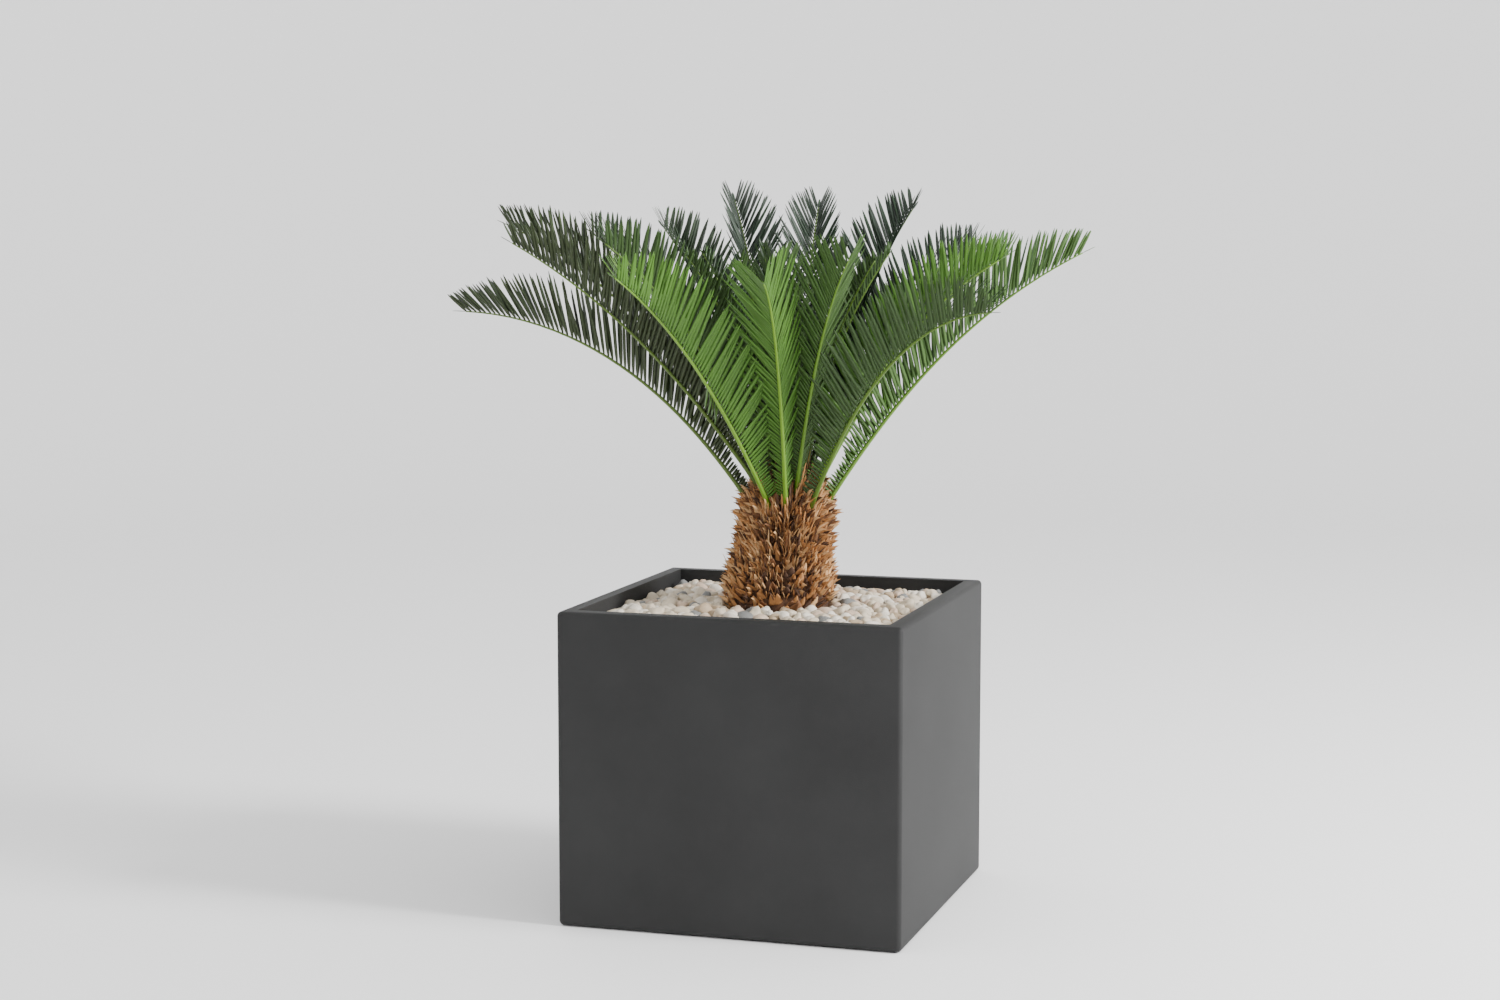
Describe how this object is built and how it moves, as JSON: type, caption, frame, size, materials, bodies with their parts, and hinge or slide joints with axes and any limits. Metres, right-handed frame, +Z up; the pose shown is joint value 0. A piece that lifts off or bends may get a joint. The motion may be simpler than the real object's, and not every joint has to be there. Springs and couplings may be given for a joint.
{
  "type": "potted cycad",
  "caption": "Cycad with a funnel of stiff keeled feather fronds on a short shaggy trunk, standing in a pebble-topped square planter with a flat rim.",
  "frame": {"origin": "the middle of the planter's flat underside", "axes": "+Z up along the trunk, +Y and +X square to the planter's sides, with the planter's front facing -Y"},
  "size_m": [1.089, 1.0974, 1.2681],
  "materials": {
    "planter_stone": "matte",
    "potting_medium": "matte",
    "pebbles": "matte",
    "leaf_base_bark": "matte",
    "bud_wool": "matte",
    "frond_green": "satin"
  },
  "bodies": {
    "root": {"planter": "planter_stone", "growing_medium": "potting_medium", "pebble_bed": "pebbles", "trunk": "leaf_base_bark", "crown_bud": "bud_wool", "outer_frond_01": "frond_green", "outer_frond_02": "frond_green", "outer_frond_03": "frond_green", "outer_frond_04": "frond_green", "outer_frond_05": "frond_green", "outer_frond_06": "frond_green", "outer_frond_07": "frond_green", "outer_frond_08": "frond_green", "middle_frond_01": "frond_green", "middle_frond_02": "frond_green", "middle_frond_03": "frond_green", "middle_frond_04": "frond_green", "middle_frond_05": "frond_green", "middle_frond_06": "frond_green", "middle_frond_07": "frond_green", "middle_frond_08": "frond_green", "middle_frond_09": "frond_green", "middle_frond_10": "frond_green", "middle_frond_11": "frond_green", "middle_frond_12": "frond_green", "middle_frond_13": "frond_green", "inner_frond_01": "frond_green", "inner_frond_02": "frond_green", "inner_frond_03": "frond_green", "inner_frond_04": "frond_green", "inner_frond_05": "frond_green", "inner_frond_06": "frond_green", "inner_frond_07": "frond_green"}
  },
  "joints": []
}
